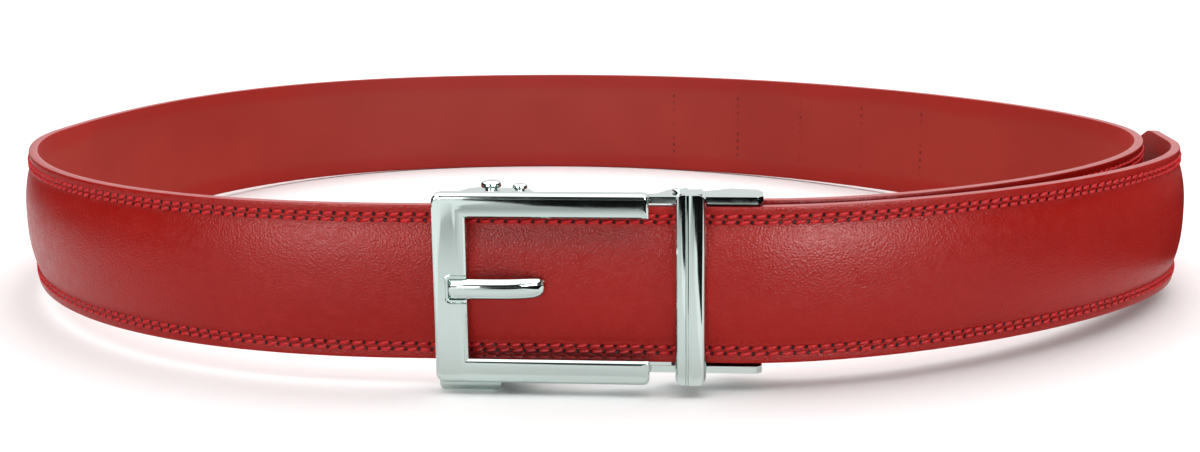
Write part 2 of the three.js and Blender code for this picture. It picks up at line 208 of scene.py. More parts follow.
def softenEdges(piece, width, segments, angle):
    bevel = piece.modifiers.new("edges", "BEVEL")
    bevel.width = width * mm
    bevel.segments = segments
    bevel.limit_method = "ANGLE"
    bevel.angle_limit = math.radians(angle)
    bevel.use_clamp_overlap = True
    applyAll(piece)


def combine(piece, tool, operation):
    step = piece.modifiers.new("combine", "BOOLEAN")
    step.object = tool
    step.operation = operation
    step.solver = "EXACT"
    applyAll(piece)
    bpy.data.objects.remove(tool)


copying = {"weld": 0.002, "flat": 0.8}


def copyOfNode(node, name):
    piece = bpy.data.objects.new(name, frame["nodes"][node].data.copy())
    bpy.context.scene.collection.objects.link(piece)
    piece.data.materials.clear()
    editMode(piece)
    selectAll()
    bpy.ops.mesh.remove_doubles(threshold=copying["weld"] * mm)
    bpy.ops.mesh.dissolve_limited(angle_limit=math.radians(copying["flat"]))
    objectMode()
    return piece


def box(name, low, high):
    a, b = at(*low), at(*high)
    piece = newObject(name, bpy.ops.mesh.primitive_cube_add, size=1, location=(a + b) / 2)
    piece.scale = b - a
    settle(piece)
    return piece


# Standing grid with a point for each column and row, which the caller places
def gridOf(name, columns, rows):
    piece = newObject(
        name, bpy.ops.mesh.primitive_grid_add, size=1, rotation=(math.pi / 2, 0, 0),
        x_subdivisions=len(columns) - 1, y_subdivisions=len(rows) - 1,
    )
    settle(piece)
    return piece


def cutAcross(piece, places, normal):
    editMode(piece)
    for place in places:
        selectAll()
        bpy.ops.mesh.bisect(plane_co=place, plane_no=normal)
    objectMode()


def finish(piece, body, slot, material, *nodes):
    piece.data.materials.clear()
    piece.data.materials.append(material)
    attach(piece, body)
    if nodes:
        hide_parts(*nodes)
    print(piece.name, len(piece.data.polygons), "faces")


def newMaterial(name, **sockets):
    material = bpy.data.materials.new(name)
    material.use_nodes = True
    shader = material.node_tree.nodes["Principled BSDF"]
    for key, value in sockets.items():
        shader.inputs[key.replace("_", " ")].default_value = value
    return material, shader


class Nodes:
    def __init__(self, owner):
        self.tree = owner.node_tree

    def add(self, kind, **settings):
        node = self.tree.nodes.new(kind)
        inputs = settings.pop("inputs", {})
        for key, value in settings.items():
            setattr(node, key, value)
        for key, value in inputs.items():
            self.feed(node.inputs[key], value)
        return node

    def feed(self, socket, value):
        if isinstance(value, bpy.types.NodeSocket):
            self.tree.links.new(value, socket)
        else:
            socket.default_value = value

    def math(self, operation, a, b=0.0):
        return self.add("ShaderNodeMath", operation=operation, inputs={0: a, 1: b}).outputs[0]

    def attribute(self, name):
        return self.add("ShaderNodeAttribute", attribute_name=name).outputs["Fac"]

    def objectPlace(self):
        return self.add("ShaderNodeTexCoord").outputs["Object"]

    def noise(self, place, scale, detail):
        inputs = {"Vector": place, "Scale": scale, "Detail": detail}
        return self.add("ShaderNodeTexNoise", inputs=inputs).outputs["Fac"]

    def spread(self, value, low, high, a=0.0, b=1.0):
        inputs = {"Value": value, "From Min": low, "From Max": high, "To Min": a, "To Max": b}
        return self.add("ShaderNodeMapRange", clamp=True, inputs=inputs).outputs["Result"]

    # Sockets 6 and 7 take the colours, and 2 gives the mixed one
    def mix(self, share, a, b):
        node = self.add("ShaderNodeMix", data_type="RGBA", inputs={"Factor": share, 6: a, 7: b})
        return node.outputs[2]

    def bump(self, height, distance, strength, normal=None):
        inputs = {"Height": height, "Distance": distance, "Strength": strength}
        if normal is not None:
            inputs["Normal"] = normal
        return self.add("ShaderNodeBump", inputs=inputs).outputs["Normal"]


leatherLook = {
    "red": (0.42, 0.0075, 0.0035, 1),
    "deepRed": (0.37, 0.0045, 0.0015, 1),
    "wornRed": (0.48, 0.016, 0.008, 1),
    # Painted shade: the thread holes are coloured near black
    "hole": (0.012, 0.001, 0.001, 1),
    "holeDepth": 0.35,
    "holeCore": 0.55,  # share of the hole that is fully dark
    "grainSize": 0.5,
    "grainDepth": 0.078,
    "grainWobble": 0.3,
    "pebble": 0.7,
    "ripple": 0.6,
    "roughness": (0.31, 0.41),
}


# Thread holes: one at each end of a stitch, on both rows. The mask sinks them with a bump and paints shade
# into them
def threadHoles(n):
    inset, seam = n.attribute("inset"), n.attribute("seam")
    pitch, size = stitching["pitch"] * mm, stitching["hole"] * mm
    holes = None
    for row in stitching["rows"]:
        away = n.math("ABSOLUTE", n.math("SUBTRACT", inset, row["inset"] * mm))
        turn = n.math("ADD", n.math("DIVIDE", seam, pitch), row["shift"] + 0.5)
        near = n.math("ABSOLUTE", n.math("SUBTRACT", n.math("FRACT", turn), 0.5))
        near = n.math("MULTIPLY", near, pitch)
        square = n.math("ADD", n.math("MULTIPLY", away, away), n.math("MULTIPLY", near, near))
        hole = n.spread(n.math("SQRT", square), size * leatherLook["holeCore"], size, 1, 0)
        holes = hole if holes is None else n.math("MAXIMUM", holes, hole)
    return holes


# Rounded cells, warped so that they don't line up, over a fine ripple
def leatherGrain(n, place):
    wobble = n.add("ShaderNodeTexNoise", inputs={"Vector": place, "Scale": 900})
    shift = {0: wobble.outputs["Color"], "Scale": leatherLook["grainWobble"] * mm}
    shift = n.add("ShaderNodeVectorMath", operation="SCALE", inputs=shift).outputs[0]
    warp = n.add("ShaderNodeVectorMath", operation="ADD", inputs={0: place, 1: shift}).outputs[0]
    cells = {"Vector": warp, "Scale": 1000 / leatherLook["grainSize"], "Smoothness": 0.35}
    cells = n.add("ShaderNodeTexVoronoi", feature="SMOOTH_F1", inputs=cells)
    pebble = n.math("MULTIPLY", n.spread(cells.outputs["Distance"], 0.1, 0.75, 1, 0), leatherLook["pebble"])
    ripple = n.math("MULTIPLY", n.noise(place, 1500, 2), leatherLook["ripple"])
    return n.math("ADD", pebble, ripple)


def leatherMaterial():
    material, shader = newMaterial("red leather", Roughness=0.42, Specular_IOR_Level=0.18)
    n = Nodes(material)
    place = n.objectPlace()
    cloud, fine = n.noise(place, 18, 3), n.noise(place, 420, 2)
    tone = n.mix(n.spread(cloud, 0.35, 0.65), leatherLook["deepRed"], leatherLook["red"])
    tone = n.mix(n.spread(fine, 0.45, 0.75, 0, 0.25), tone, leatherLook["wornRed"])
    holes = threadHoles(n)
    fromGrain = n.bump(leatherGrain(n, place), leatherLook["grainDepth"] * mm, 1)
    fromHoles = n.bump(n.math("MULTIPLY", holes, -1), leatherLook["holeDepth"] * mm, 1, fromGrain)
    # The thread holes get painted shade here: their colour is near black
    n.feed(shader.inputs["Base Color"], n.mix(holes, tone, leatherLook["hole"]))
    n.feed(shader.inputs["Normal"], fromHoles)
    n.feed(shader.inputs["Roughness"], n.spread(fine, 0.3, 0.7, *leatherLook["roughness"]))
    return material


edgeLook = {
    "shader": {"Roughness": 0.34, "Specular_IOR_Level": 0.45},
    "dark": (0.30, 0.012, 0.012, 1),
    "light": (0.42, 0.035, 0.035, 1),
    "cloud": 160,
    "relief": 700,
    "depth": 0.08,
    "strength": 0.6,
}

trackLook = {
    "shader": {"Roughness": 0.45, "Specular_IOR_Level": 0.5},
    "dark": (0.010, 0.009, 0.009, 1),
    "light": (0.022, 0.020, 0.020, 1),
    "cloud": 240,
    "relief": 1500,
    "depth": 0.05,
    "strength": 0.5,
}


def cloudedMaterial(name, look):
    material, shader = newMaterial(name, **look["shader"])
    n = Nodes(material)
    place = n.objectPlace()
    relief = n.noise(place, look["relief"], 2)
    n.feed(shader.inputs["Base Color"], n.mix(n.noise(place, look["cloud"], 3), look["dark"], look["light"]))
    n.feed(shader.inputs["Normal"], n.bump(relief, look["depth"] * mm, look["strength"]))
    return material


liningLook = {
    "middle": (0.370, 0.025, 0.013, 1),
    "margin": (0.380, 0.012, 0.005, 1),
    "stain": (0.27, 0.012, 0.009, 1),
    "marginEdge": (3.6, 6),
    "marginWaver": 4,
    "mark": (0.14, 0.004, 0.004, 1),
    "firstMark": 274,  # along the strap
    "markPitch": 25.4,
    "marks": 5,
    "markHalf": 11.5,
    "markFade": (0.22, 0.5),
    "dash": 2.6,
    "dashShift": 50,
    "dashShare": 0.42,
    "depth": 0.06,
    "roughness": (0.66, 0.78),
}


# Cut lines for shortening the strap, pricked every inch
def cutLines(n, place):
    along, across = n.attribute("along"), n.attribute("across")
    pitch = liningLook["markPitch"] * mm
    low, high = (step * mm for step in liningLook["markFade"])
    turn = n.math("SUBTRACT", along, liningLook["firstMark"] * mm)
    turn = n.math("ADD", n.math("DIVIDE", turn, pitch), 0.5)
    near = n.math("ABSOLUTE", n.math("SUBTRACT", n.math("FRACT", turn), 0.5))
    line = n.spread(n.math("MULTIPLY", near, pitch), low, high, 1, 0)
    within = n.math("LESS_THAN", turn, float(liningLook["marks"]))
    within = n.math("MULTIPLY", n.math("GREATER_THAN", turn, 0.0), within)
    middleOnly = n.math("LESS_THAN", n.math("ABSOLUTE", across), liningLook["markHalf"] * mm)
    dash = n.math("DIVIDE", n.math("ADD", across, liningLook["dashShift"] * mm), liningLook["dash"] * mm)
    dash = n.math("LESS_THAN", n.math("FRACT", dash), liningLook["dashShare"])
    mark = n.math("MULTIPLY", n.math("MULTIPLY", line, within), n.math("MULTIPLY", middleOnly, dash))
    return n.math("MULTIPLY", mark, n.spread(n.noise(place, 210, 2), 0.4, 0.6))


def liningMaterial():
    material, shader = newMaterial("lining leather", Roughness=0.72, Specular_IOR_Level=0.2)
    n = Nodes(material)
    place = n.objectPlace()
    cloud, fine = n.noise(place, 25, 4), n.noise(place, 1300, 2)
    waver = n.math("MULTIPLY", n.math("SUBTRACT", cloud, 0.5), liningLook["marginWaver"] * mm)
    low, high = (step * mm for step in liningLook["marginEdge"])
    share = n.spread(n.math("ADD", n.attribute("inset"), waver), low, high)
    tone = n.mix(share, liningLook["margin"], liningLook["middle"])
    tone = n.mix(n.spread(cloud, 0.4, 0.62, 0, 0.3), tone, liningLook["stain"])
    mark = cutLines(n, place)
    relief = n.math("SUBTRACT", n.math("MULTIPLY", fine, 0.5), mark)
    n.feed(shader.inputs["Base Color"], n.mix(mark, tone, liningLook["mark"]))
    n.feed(shader.inputs["Normal"], n.bump(relief, liningLook["depth"] * mm, 0.5))
    n.feed(shader.inputs["Roughness"], n.spread(cloud, 0.3, 0.7, *liningLook["roughness"]))
    return material


threadLook = {
    "dark": (0.50, 0.003, 0.005, 1),
    "light": (0.74, 0.010, 0.014, 1),
    "depth": 0.06,
}


def threadMaterial():
    material, shader = newMaterial("red thread", Roughness=0.5, Specular_IOR_Level=0.22)
    n = Nodes(material)
    fibre = n.noise(n.objectPlace(), 2600, 2)
    tone = n.mix(n.spread(fibre, 0.35, 0.65), threadLook["dark"], threadLook["light"])
    n.feed(shader.inputs["Base Color"], tone)
    n.feed(shader.inputs["Normal"], n.bump(fibre, threadLook["depth"] * mm, 0.7))
    return material


chromeLook = {
    "tint": (0.545, 0.63, 0.60, 1),
    "rubbed": (0.51, 0.59, 0.565, 1),
    "roughness": (0.05, 0.09),
    "depth": 0.02,
}


def chromeMaterial():
    material, shader = newMaterial("chrome", Metallic=1.0, Roughness=chromeLook["roughness"][0])
    n = Nodes(material)
    place = n.objectPlace()
    scuffs = n.spread(n.noise(place, 240, 4), 0.35, 0.7, *chromeLook["roughness"])
    tone = n.mix(n.noise(place, 60, 3), chromeLook["rubbed"], chromeLook["tint"])
    n.feed(shader.inputs["Base Color"], tone)
    n.feed(shader.inputs["Roughness"], scuffs)
    n.feed(shader.inputs["Normal"], n.bump(n.noise(place, 90, 1), chromeLook["depth"] * mm, 0.25))
    return material


stitching = {
    "pitch": 2.95,
    "length": 2.5,
    "thread": 0.48,
    "rise": 0.02,
    "slant": 0.10,
    "dive": 0.42,
    "taper": 0.5,
    "flat": 0.9,
    "cuts": (-0.33, -0.12, 0.12, 0.33),
    "turn": 0.07,
    "lift": 0.05,
    "hole": 0.52,
    "rows": [{"inset": 2.2, "shift": 0.0}, {"inset": 3.5, "shift": 0.16}],
}

leather = leatherMaterial()
paintedEdge = cloudedMaterial("painted edge", edgeLook)
lining = liningMaterial()
thread = threadMaterial()
chrome = chromeMaterial()
trackPlastic = cloudedMaterial("moulded track", trackLook)
print("materials made")


route = {
    "wide": 305.4,
    "deep": 266.9,
    # Turning points, as shares of the loop's width and depth
    "right": (0.474, 0.443),
    "back": (-0.102, 1),
    "left": (-0.526, 0.418),
    "tailDepth": 0.379,
    "buckleRun": 74,
    "strapStart": 34.0,
    "clampOut": 43.0,
    "clampInner": 8.6,  # inner face of the strap in the clamp
    "tailOut": 6.5,
    "tailStraight": 47,
    "edge": 2.4,
}


# A leg's start, end and bend: whether it leaves along X, and how much of the span each handle takes
def routeLegs():
    wide, deep = route["wide"], route["deep"]
    right, back, left = ((route[side][0] * wide, route[side][1] * deep) for side in ("right", "back", "left"))
    half = route["buckleRun"] / 2
    tail = (right[0] + route["tailOut"], route["tailDepth"] * deep)
    start, out = (route["strapStart"], route["clampInner"]), (route["clampOut"], route["clampInner"])
    return [
        (start, out, None),
        (out, right, (True, 0.34, 0.54)),
        (right, back, (False, 0.34, 0.56)),
        (back, left, (True, 0.63, 0.7)),
        (left, (-half, 0), (False, 0.27, 0.74)),
        ((-half, 0), (half, 0), None),
        ((half, 0), tail, (True, 0.36, 0.45)),
        (tail, (tail[0], tail[1] + route["tailStraight"]), None),
    ]


def handles(start, end, bend):
    spanX, spanY = end[0] - start[0], end[1] - start[1]
    if bend is None:
        leave = (start[0] + spanX / 3, start[1] + spanY / 3)
        arrive = (end[0] - spanX / 3, end[1] - spanY / 3)
        return leave, arrive
    alongX, out, into = bend
    if alongX:
        return (start[0] + spanX * out, start[1]), (end[0], end[1] - spanY * into)
    return (start[0], start[1] + spanY * out), (end[0] - spanX * into, end[1])


def drawRoute():
    legs = routeLegs()
    line = newObject("route", bpy.ops.curve.primitive_bezier_curve_add)
    spline = line.data.splines[0]
    spline.bezier_points.add(len(legs) + 1 - len(spline.bezier_points))
    points = spline.bezier_points
    for point in points:
        point.handle_left_type = "FREE"
        point.handle_right_type = "FREE"
    for i, (start, end, bend) in enumerate(legs):
        leave, arrive = handles(start, end, bend)
        for point, place in ((points[i], start), (points[i + 1], end)):
            point.co = (originX + place[0] * mm, originY + place[1] * mm, 0)
        points[i].handle_right = (originX + leave[0] * mm, originY + leave[1] * mm, 0)
        points[i + 1].handle_left = (originX + arrive[0] * mm, originY + arrive[1] * mm, 0)
    points[0].handle_left = points[0].co - (points[0].handle_right - points[0].co)
    points[-1].handle_right = points[-1].co * 2 - points[-1].handle_left
    line.data.resolution_u = 96
    line.data.twist_mode = "Z_UP"
    line.data.use_deform_bounds = False
    line.data.use_stretch = False
    return line


routeLine = drawRoute()
strapLength = routeLine.data.splines[0].calc_length()
print("strap length", round(strapLength, 4))


def lowerEdge(y):
    return strapLow * (1 - (y - originY) / ((route["deep"] + route["edge"]) * mm))


def layAlongRoute(piece):
    bend = piece.modifiers.new("bend", "CURVE")
    bend.object = routeLine
    bend.deform_axis = "POS_X"
    applyAll(piece)
    for vertex in piece.data.vertices:
        vertex.co.z += middle + lowerEdge(vertex.co.y)


# The strap is modelled flat along X with its outside facing -Y, then bent round the route
strap = {
    "tip": 30,
    "tipReach": 1.6,  # how far the outline of the tip is followed, in tips
    "tipSteps": 30,
    "outlineSteps": 90,
    "stationPitch": 2.2,
    "lining": 1.0,
    "margin": 4.5,
    "edge": 2.4,
    "crown": 1.8,
    "crownStart": 1.1,
    "crownStep": 0.35,
    "liningBack": 1.02,
    "grooveDepth": 0.14,
    "grooveHalf": 1.6,
    "dent": 0.07,
    "dentAt": 4.9,
    "dentHalf": 0.6,
    "paintedEnd": 20,
    # The seam is measured along the row of stitches over this last run
    "seamRun": 55,
    "seamSteps": 160,
    "insets": (
        0, 0.1, 0.35, 0.8, 1.5, 2.1, 2.7, 3.2, 3.8, 4.3, 4.6, 4.9, 5.4, 6.0, 6.8, 7.6, 8.6, 9.8, 11.2, 12.8,
        14.6, 16.2, 17.5,
    ),
    "liningInsets": (0, 0.12, 0.4, 1.2, 3.0, 4.4, 5.2, 6.4, 9, 13, 17.5),
    # Share of the tip that is left, share of the half width there
    "tipWidths": (
        (1, 1), (0.86, 0.98), (0.71, 0.9), (0.58, 0.82), (0.4, 0.68), (0.22, 0.51), (0.1, 0.36), (0.03, 0.22),
        (0, 0.12),
    ),
    # Distance from the edge, how far the face has fallen there
    "edgeDrop": ((0, 0.38), (0.1, 0.13), (0.35, 0.02), (0.8, 0), (100, 0)),
}


def tipWidth(share):
    table = strap["tipWidths"]
    for (a, wa), (b, wb) in zip(table, table[1:]):
        if share >= b:
            t = (share - b) / (a - b) if a > b else 0
            return wb + (wa - wb) * t
    return table[-1][1]


def halfWidth(along):
    left = (strapLength - along) / (strap["tip"] * mm)
    return middle * (1 if left >= 1 else tipWidth(max(left, 0)))


def alongStations():
    body = strapLength - strap["tip"] * mm
    count = round(body / (strap["stationPitch"] * mm))
    places = [body * i / count for i in range(count)]
    steps = strap["tipSteps"]
    for i in range(steps + 1):
        places.append(body + strap["tip"] * mm * math.sin(math.pi / 2 * i / steps))
    return places


# Outline of the strap's end in plan: lower edge, end, upper edge
def tipOutline():
    points = []
    steps, reach = strap["outlineSteps"], strap["tipReach"]
    for i in range(steps + 1):
        along = strapLength - strap["tip"] * mm * (reach - reach * math.sin(math.pi / 2 * i / steps))
        points.append((along, -halfWidth(along)))
    points += [(strapLength, halfWidth(strapLength) * (k / 4 - 1)) for k in range(1, 9)]
    points += [(x, -z) for x, z in reversed(points[: steps + 1])]
    return points


outlinePoints = tipOutline()


# Distance of a point of the strap from its edge
def insetOf(along, height):
    straight = middle - abs(height)
    if along < strapLength - strap["tip"] * mm * 1.5:
        return max(straight, 0)
    best = math.inf
    for (ax, az), (bx, bz) in zip(outlinePoints, outlinePoints[1:]):
        dx, dz = bx - ax, bz - az
        size = dx * dx + dz * dz
        t = 0 if size == 0 else max(0, min(1, ((along - ax) * dx + (height - az) * dz) / size))
        best = min(best, math.hypot(along - ax - dx * t, height - az - dz * t))
    return best


# Lower row of stitches, from the strap's start to the middle of its tip
def rowPath(inset):
    body = strapLength - strap["tip"] * mm * strap["tipReach"]
    path = [(0.0, -(middle - inset)), (body, -(middle - inset))]
    points = outlinePoints
    for i in range(1, len(points) // 2):
        (ax, az), (bx, bz) = points[i - 1], points[i + 1]
        size = math.hypot(bx - ax, bz - az)
        x = points[i][0] - (bz - az) / size * inset
        z = points[i][1] + (bx - ax) / size * inset
        if z < 0 and insetOf(x, z) > inset * 0.985 and x > path[-1][0]:
            path.append((x, z))
    path.append((path[-1][0] + abs(path[-1][1]) * 0.35, 0.0))
    return path


def pathLength(path):
    return sum(math.dist(a, b) for a, b in zip(path, path[1:]))


# Point at a distance along a path, and the direction there
def onPath(path, distance):
    for a, b in zip(path, path[1:]):
        size = math.dist(a, b)
        if distance <= size or b is path[-1]:
            stepX, stepZ = b[0] - a[0], b[1] - a[1]
            t = distance / size
            return (a[0] + stepX * t, a[1] + stepZ * t), (stepX / size, stepZ / size)
        distance -= size


# Rise of the padded middle over the flat margin
def crownAt(inset):
    margin, full = strap["margin"] * mm, strap["crown"] * mm
    if inset <= margin:
        return 0
    t = min((inset - margin) / (middle - margin), 1)
    start = min((inset - margin) / (strap["crownStart"] * mm), 1)
    step = strap["crownStep"]
    return full * (1 - (1 - t) ** 2.5) * (step + (1 - step) * start * start * (3 - 2 * start))


def edgeDrop(inset):
    table = strap["edgeDrop"]
    for (a, da), (b, db) in zip(table, table[1:]):
        if inset <= b * mm:
            return (da + (db - da) * (inset / mm - a) / (b - a)) * mm
    return 0


# The stitches pull the leather in between their two rows
def groove(inset):
    middleOfRows = (stitching["rows"][0]["inset"] + stitching["rows"][1]["inset"]) / 2 * mm
    away = abs(inset - middleOfRows) / (strap["grooveHalf"] * mm)
    return strap["grooveDepth"] * mm * max(0, 1 - away * away)


# Sheet in the strap's outline: its rows crowd towards the edges and follow the rounded tip
def strapGrid(name, insets):
    places = alongStations()
    rows = list(insets) + [strapWidth - i for i in reversed(insets[:-1])]
    piece = gridOf(name, places, rows)
    for i, vertex in enumerate(piece.data.vertices):
        along, row = places[i % len(places)], rows[i // len(places)]
        half = halfWidth(along)
        inset = min(row, strapWidth - row)
        share = (1 - inset * mm / middle) ** (middle / half)
        side = -1 if row <= strapWidth / 2 else 1
        vertex.co = (along, 0, side * half * share)
    return piece


# Each point's place on the strap, for the materials
def storeLanes(piece, rowLine):
    run, steps = strap["seamRun"] * mm, strap["seamSteps"]
    bodyEnd = pathLength(rowLine) - run
    samples = [onPath(rowLine, bodyEnd + run * k / steps)[0] for k in range(steps + 1)]
    values = {"along": [], "across": [], "inset": [], "seam": []}
    for vertex in piece.data.vertices:
        along, height = vertex.co.x, vertex.co.z
        values["along"].append(along)
        values["across"].append(height)
        values["inset"].append(insetOf(along, height))
        seam = along
        if along > samples[0][0]:
            near = min(range(steps + 1), key=lambda k: math.dist(samples[k], (along, -abs(height))))
            seam = bodyEnd + run * near / steps
        values["seam"].append(seam)
    for key, numbers in values.items():
        layer = piece.data.attributes.new(key, "FLOAT", "POINT")
        layer.data.foreach_set("value", numbers)
    return values["inset"]


# Gives the sheet its other face, at the level told in mm
def thicken(piece, level):
    front = len(piece.data.vertices)
    editMode(piece)
    selectAll()
    bpy.ops.mesh.extrude_region_move(TRANSFORM_OT_translate={"value": (0, level * mm, 0)})
    objectMode()
    for vertex in piece.data.vertices[front:]:
        vertex.co.y = level * mm
    outwards(piece)


# Main material, and the painted one on the cut edges: along the sides from the level told, and at the end
def paintSheet(piece, material, level):
    piece.data.materials.append(material)
    piece.data.materials.append(paintedEdge)
    endStart = strapLength - strap["paintedEnd"] * mm
    for face in piece.data.polygons:
        alongSide = abs(face.normal.z) > 0.5 and face.center.y > level * mm
        atEnd = abs(face.normal.x) > 0.5 and face.center.x > endStart
        if alongSide or atEnd:
            face.material_index = 1


def strapSheet(name, insets, frontAt, back, material, painted):
    piece = strapGrid(name, insets)
    lanes = storeLanes(piece, rowPath(stitching["rows"][0]["inset"] * mm))
    for vertex, inset in zip(piece.data.vertices, lanes):
        vertex.co.y = -frontAt(inset)
    thicken(piece, -back)
    paintSheet(piece, material, -painted)
    layAlongRoute(piece)
    smooth(piece, 42)
    return piece


def faceFront(inset):
    return strap["edge"] * mm + crownAt(inset) - edgeDrop(inset) - groove(inset)


# The lining's bare side, with a faint dent inside the rows of stitches
def liningFront(inset):
    away = abs(inset / mm - strap["dentAt"]) / strap["dentHalf"]
    return edgeDrop(inset) * 0.8 + strap["dent"] * mm * max(0, 1 - away)


sheet = (strap["insets"], faceFront, strap["liningBack"], leather, strap["edge"] * 1.02)
outer = strapSheet("strap_outer", *sheet)
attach(outer, "belt")
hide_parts("strap_face")
print("outer strap", len(outer.data.polygons), "faces")

sheet = (strap["liningInsets"], liningFront, strap["lining"], lining, strap["lining"] * 2)
inner = strapSheet("strap_inner", *sheet)
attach(inner, "belt")
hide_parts("strap_lining")
print("lining", len(inner.data.polygons), "faces")


# One stitch is modelled, arrayed in a row, laid along its lane and bent with the strap
def oneStitch(name):
    length = stitching["length"] * mm
    piece = newObject(
        name, bpy.ops.mesh.primitive_cylinder_add, vertices=6, radius=stitching["thread"] * mm, depth=length,
        end_fill_type="NGON", rotation=(0, math.pi / 2, 0),
    )
    settle(piece)
    cutAcross(piece, [(share * length, 0, 0) for share in stitching["cuts"]], (1, 0, 0))
    for vertex in piece.data.vertices:
        t = vertex.co.x / (length / 2)
        fat = 1 - stitching["taper"] * abs(t) ** 3
        vertex.co.y = vertex.co.y * fat * stitching["flat"] + (abs(t) ** 2.5) * stitching["dive"] * mm
        vertex.co.z = vertex.co.z * fat + t * stitching["slant"] * mm * 2
    return piece


# Side is -1 for the lower edge's row and 1 for the upper edge's, which mirrors it
def stitchRow(name, row, side):
    lane = rowPath(row["inset"] * mm)
    pitch = stitching["pitch"] * mm
    count = int(pathLength(lane) / pitch) - 1
    piece = oneStitch(name)
    repeat = piece.modifiers.new("repeat", "ARRAY")
    repeat.count = count
    repeat.use_relative_offset = False
    repeat.use_constant_offset = True
    repeat.constant_offset_displace = (pitch, 0, 0)
    applyAll(piece)
    perStitch = len(piece.data.vertices) // count
    chance = random.Random(row["inset"] * 10 + side)
    rest = (strap["edge"] + stitching["rise"]) * mm
    for k in range(count):
        turn = chance.uniform(-stitching["turn"], stitching["turn"])
        lift = chance.uniform(-stitching["lift"], stitching["lift"])
        centre = (k + 1.5 - row["shift"]) * pitch
        for vertex in piece.data.vertices[k * perStitch:(k + 1) * perStitch]:
            x = vertex.co.x - k * pitch
            height = vertex.co.z + x * turn
            (px, pz), (dx, dz) = onPath(lane, max(centre + x, 0))
            vertex.co = (px - dz * height, vertex.co.y - rest - lift * mm, dx * height - side * pz)
    if side > 0:
        outwards(piece)
    layAlongRoute(piece)
    for face in piece.data.polygons:
        face.use_smooth = True
    finish(piece, "belt", "leather", thread)


for number, row in enumerate(stitching["rows"], 1):
    stitchRow(f"stitches_lower_{number}", row, -1)
    stitchRow(f"stitches_upper_{number}", row, 1)


# The front plate is an open frame with three sides
plate = {
    "left": -28.4,
    "right": 18.4,
    "low": -3.6,
    "high": 38.6,
    "front": -7.9,
    "thick": 3.3,
    "bar": 7.3,
    "arm": 5.4,
    "corner": 2.0,
    "armCorner": 1.4,
    "steps": ((0.50, 0.44), (0.26, 0.075), (0.5, 0.05)),  # inset, rise of the rim
    "crown": 0.035,
    "crownRun": 2.6,
    "soft": 0.12,
    "barLines": (2.2, 2.9),
    "armLine": 2.05,
    "armEnd": 1.9,
    # Where the prong is let into the bar, and the raised line round it
    "seat": {"left": 3.25, "right": 8.3, "half": 2.38, "depth": 1.2, "corner": 0.5},
    "ring": {"left": 2.55, "right": 7.2, "half": 3.1, "corner": 1.3, "thick": 0.2, "steps": 6},
}
plate["windowLow"] = plate["low"] + plate["arm"]
plate["windowHigh"] = plate["high"] - plate["arm"]
plate["windowLeft"] = plate["left"] + plate["bar"]


def plateLines():
    left, bar = plate["left"], plate["bar"]
    low, high, arm = plate["low"], plate["high"], plate["arm"]
    near, far = plate["barLines"]
    columns = [left, left + near, left + far, left + bar / 2, left + bar - far, left + bar - near, left + bar]
    columns += [plate["right"] - plate["armEnd"], plate["right"]]
    across = [0, plate["armLine"], arm / 2, arm - plate["armLine"], arm]
    rows = [low + step for step in across] + [high - arm + step for step in across]
    return columns, rows


def seatRing():
    ring = plate["ring"]
    line = newObject("ring", bpy.ops.curve.primitive_bezier_curve_add)
    curve = line.data
    curve.dimensions = "3D"
    curve.splines.clear()
    left, right = plate["left"] + ring["left"], plate["left"] + ring["right"]
    centre, half, corner = middle / mm, ring["half"], ring["corner"]
    places = [(right, centre + half)]
    for start, z in ((90, centre + half - corner), (180, centre - half + corner)):
        for step in range(ring["steps"] + 1):
            turn = math.radians(start + step * 90 / ring["steps"])
            places.append((left + corner + corner * math.cos(turn), z + corner * math.sin(turn)))
    places.append((right, centre - half))
    spline = curve.splines.new("POLY")
    spline.points.add(len(places) - 1)
    for point, (x, z) in zip(spline.points, places):
        point.co = (*at(x, plate["front"], z), 1)
    curve.bevel_depth = ring["thick"] * mm
    curve.bevel_resolution = 3
    curve.use_fill_caps = True
    makeActive(line)
    bpy.ops.object.convert(target="MESH")
    tube = bpy.context.object
    settle(tube)
    editMode(tube)
    selectAll()
    bpy.ops.mesh.remove_doubles(threshold=0.001 * mm)
    objectMode()
    outwards(tube)
    return tube


# Outline of the plate with its window and rounded corners, thickened, with the rim's steps in front
def plateBody():
    columns, rows = plateLines()
    piece = gridOf("buckle_plate", columns, rows)
    rise = sum(step[1] for step in plate["steps"])
    level = plate["front"] + plate["crown"] + rise
    for i, vertex in enumerate(piece.data.vertices):
        vertex.co = at(columns[i % len(columns)], level, rows[i // len(columns)])
    hollow = at(plate["windowLeft"], 0, middle / mm)
    reach = (plate["windowHigh"] - plate["windowLow"]) * 0.49 * mm
    editMode(piece)
    choose(piece, "polygons", lambda f: f.center.x > hollow.x and abs(f.center.z - hollow.z) < reach)
    bpy.ops.mesh.delete(type="FACE")
    bpy.ops.mesh.select_mode(type="VERT")
    for x, radius in ((plate["left"], plate["corner"]), (plate["right"], plate["armCorner"])):
        for z in (plate["low"], plate["high"]):
            corner = at(x, level, z)
            choose(piece, "vertices", lambda vertex: (vertex.co - corner).length < 0.01 * mm)
            bpy.ops.mesh.bevel(offset=radius * mm, segments=8, affect="VERTICES", offset_type="OFFSET")
    bpy.ops.mesh.select_mode(type="FACE")
    selectAll()
    bpy.ops.mesh.extrude_region_move(
        TRANSFORM_OT_translate={"value": (0, (plate["thick"] - rise - plate["crown"]) * mm, 0)}
    )
    selectAll()
    bpy.ops.mesh.normals_make_consistent(inside=False)
    front = at(0, level, 0).y
    choose(piece, "polygons", lambda f: f.normal.y < -0.9 and abs(f.center.y - front) < 0.05 * mm)
    for inset, up in plate["steps"]:
        bpy.ops.mesh.inset(thickness=inset * mm, depth=up * mm, use_even_offset=True)
    objectMode()
    return piece


